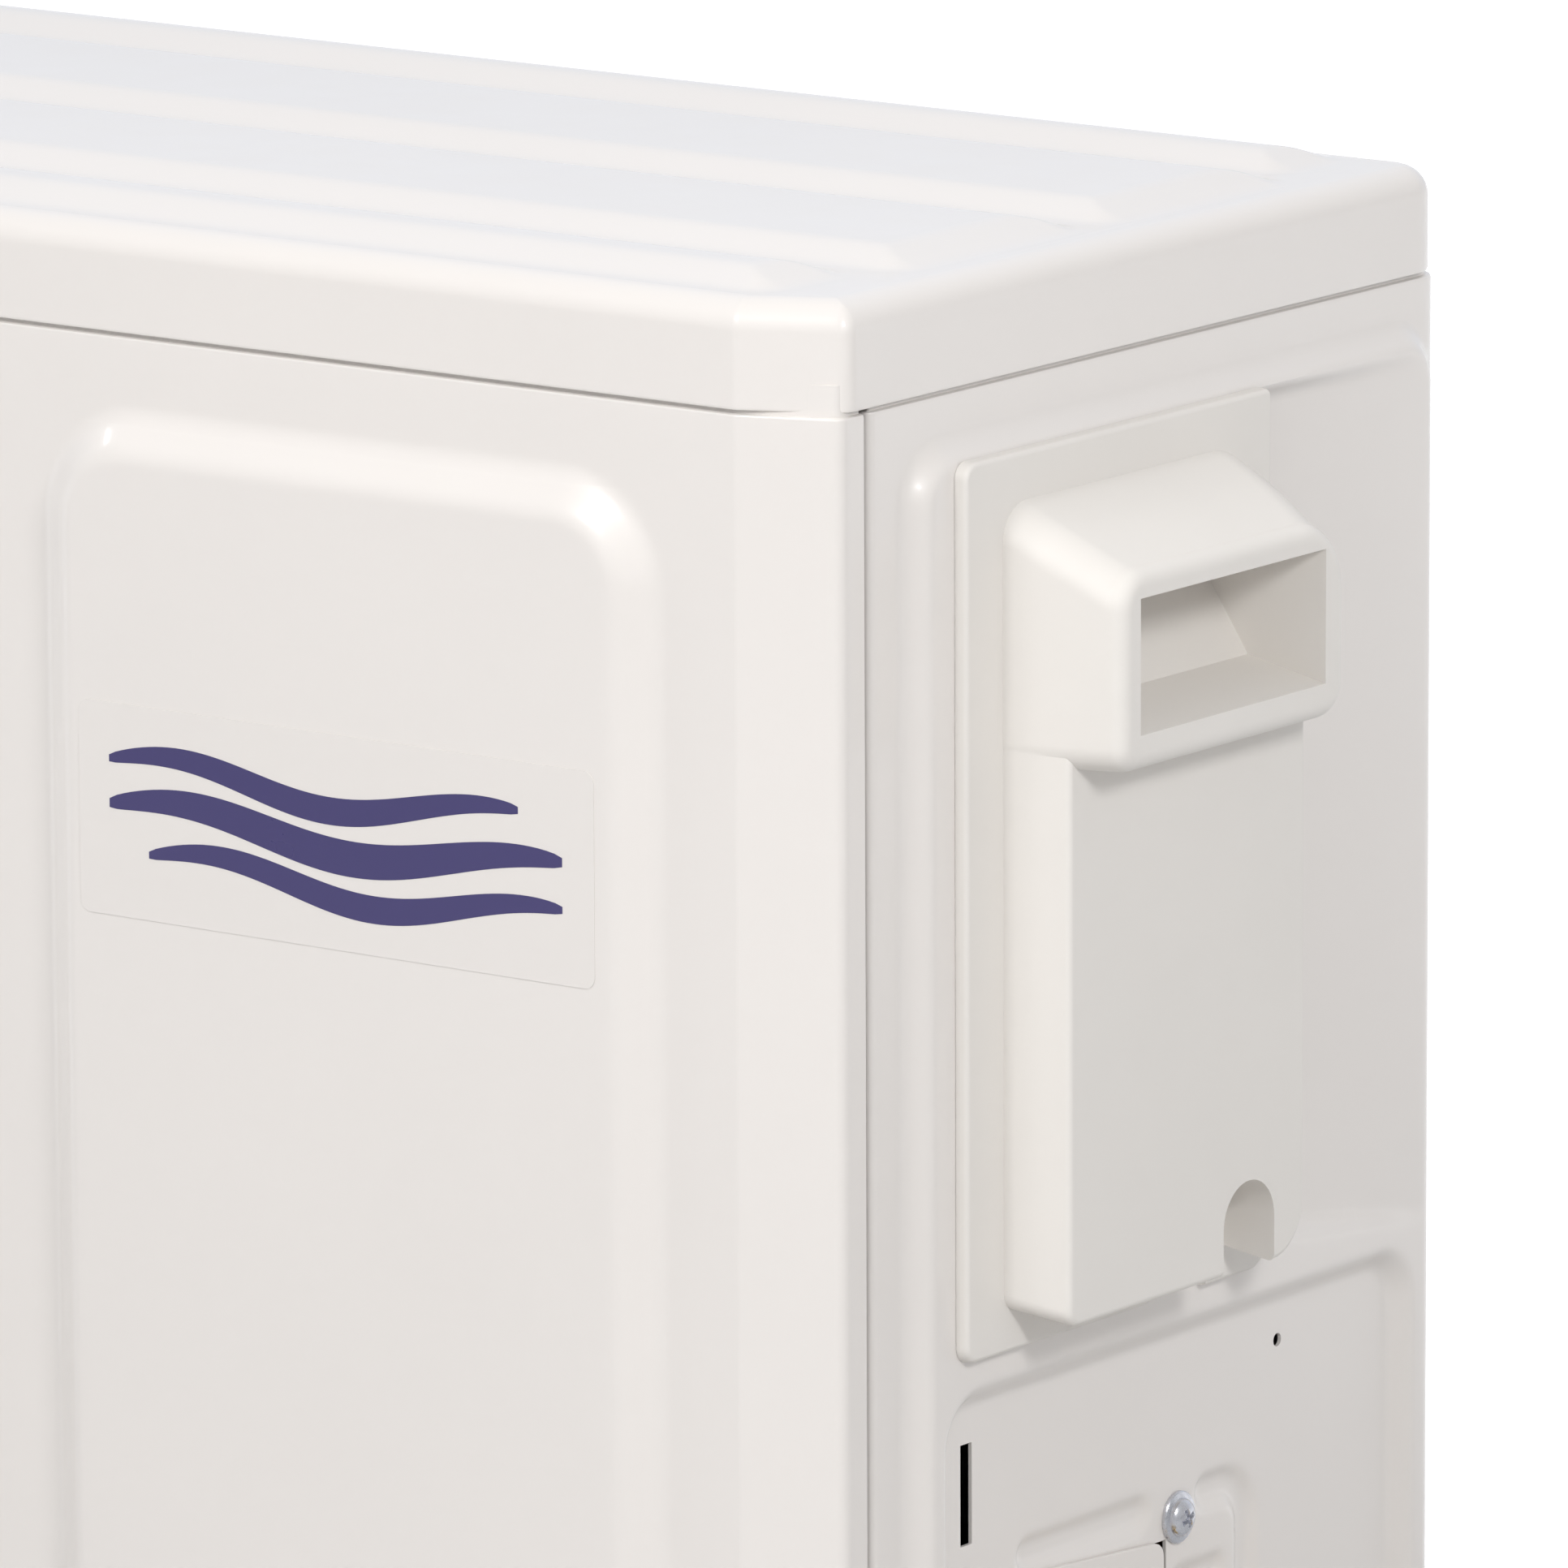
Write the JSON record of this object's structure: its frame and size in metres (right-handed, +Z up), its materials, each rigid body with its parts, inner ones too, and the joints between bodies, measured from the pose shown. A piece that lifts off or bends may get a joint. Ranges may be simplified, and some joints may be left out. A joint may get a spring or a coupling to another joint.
{
  "type": "air conditioner outdoor unit",
  "caption": "Outdoor condensing unit of a split air conditioner: ribbed lid, fan grille, pressed side panel, moulded wiring cover with finger grip, service valves and slotted feet.",
  "frame": {"origin": "on the ground, at the centre of the four foot bolts", "axes": "+X to the right along the front, +Y to the rear, +Z up; the front faces -Y"},
  "size_m": [0.8094, 0.312, 0.544],
  "materials": {
    "case_paint": "semi-gloss powder coat",
    "zinc_sheet": "galvanised",
    "cover_plastic": "fine matt texture",
    "grille_plastic": "satin",
    "fan_plastic": "satin, grey",
    "black_paint": "satin black",
    "copper": "bright drawn copper",
    "valve_brass": "machined",
    "coil_aluminium": "mill finish fin stock",
    "lamination": "punched laminations",
    "steel": "machined",
    "fastener": "bright zinc",
    "rubber": "matt",
    "board": "solder mask",
    "terminal_plastic": "moulded",
    "capacitor_case": "satin can",
    "badge": "printed film",
    "coil_epoxy": "potted coil"
  },
  "bodies": {
    "cabinet": {"left_foot": "zinc_sheet", "right_foot": "zinc_sheet", "base_pan": "case_paint", "top_cover": "case_paint", "front_panel": "case_paint", "side_panel": "case_paint", "left_panel": "case_paint", "rear_guard": "grille_plastic", "fan_grille": "grille_plastic", "motor_housing": "coil_epoxy", "motor_stator": "lamination", "motor_bearings": "steel", "motor_bracket": "zinc_sheet", "motor_screws": "fastener", "condenser_fins": "coil_aluminium", "coil_hairpins": "copper", "coil_end_plates": "zinc_sheet", "divider_plate": "zinc_sheet", "compressor_shell": "black_paint", "compressor_stator": "lamination", "pump_cylinder": "steel", "main_bearing": "steel", "end_bearing": "steel", "accumulator": "black_paint", "rubber_grommets": "rubber", "compressor_studs": "fastener", "compressor_nuts": "fastener", "terminal_cap": "terminal_plastic", "reversing_valve": "valve_brass", "reversing_coil": "coil_epoxy", "discharge_pipe": "copper", "suction_pipe": "copper", "gas_line": "copper", "coil_line": "copper", "liquid_line": "copper", "strainer": "copper", "capillary_coil": "copper", "valve_plate": "case_paint", "gas_valve": "valve_brass", "liquid_valve": "valve_brass", "electric_box": "zinc_sheet", "control_board": "board", "run_capacitor": "capacitor_case", "terminal_bracket": "zinc_sheet", "terminal_block": "terminal_plastic", "terminal_screws": "fastener", "cable_clamp": "terminal_plastic", "case_screws": "fastener", "badge_film": "badge"},
    "fan_rotor": {"axial_fan": "fan_plastic", "fan_nut": "fan_plastic", "motor_shaft": "steel"},
    "crank": {"crankshaft": "steel", "rolling_piston": "steel"},
    "wiring_hood": {"wiring_cover": "cover_plastic"},
    "gas_cap": {"gas_valve_cap": "valve_brass"},
    "liquid_cap": {"liquid_valve_cap": "valve_brass"},
    "charging_cap": {"port_cap": "valve_brass"},
    "gas_stem": {"gas_valve_stem": "valve_brass"},
    "liquid_stem": {"liquid_valve_stem": "valve_brass"}
  },
  "joints": [
    {"name": "fan_spin", "type": "hinge", "parent": "cabinet", "child": "fan_rotor", "pos_m": [-0.11, -0.06, 0.27], "axis": [0, 1, 0], "continuous": true},
    {"name": "crank_spin", "type": "hinge", "parent": "cabinet", "child": "crank", "pos_m": [0.258, -0.012, 0.15], "axis": [0, 0, 1], "continuous": true},
    {"name": "wiring_cover_off", "type": "slide", "parent": "cabinet", "child": "wiring_hood", "axis": [1, 0, 0], "range_m": [0, 0.08]},
    {"name": "gas_cap_off", "type": "slide", "parent": "cabinet", "child": "gas_cap", "axis": [1, 0, 0], "range_m": [0, 0.04]},
    {"name": "liquid_cap_off", "type": "slide", "parent": "cabinet", "child": "liquid_cap", "axis": [1, 0, 0], "range_m": [0, 0.04]},
    {"name": "charging_cap_off", "type": "slide", "parent": "cabinet", "child": "charging_cap", "axis": [0, -1, 0], "range_m": [0, 0.03]},
    {"name": "gas_stem_turn", "type": "hinge", "parent": "cabinet", "child": "gas_stem", "pos_m": [0.41, -0.024, 0.168], "axis": [1, 0, 0], "range_deg": [0, 1440]},
    {"name": "liquid_stem_turn", "type": "hinge", "parent": "cabinet", "child": "liquid_stem", "pos_m": [0.41, -0.024, 0.102], "axis": [1, 0, 0], "range_deg": [0, 1440]}
  ]
}
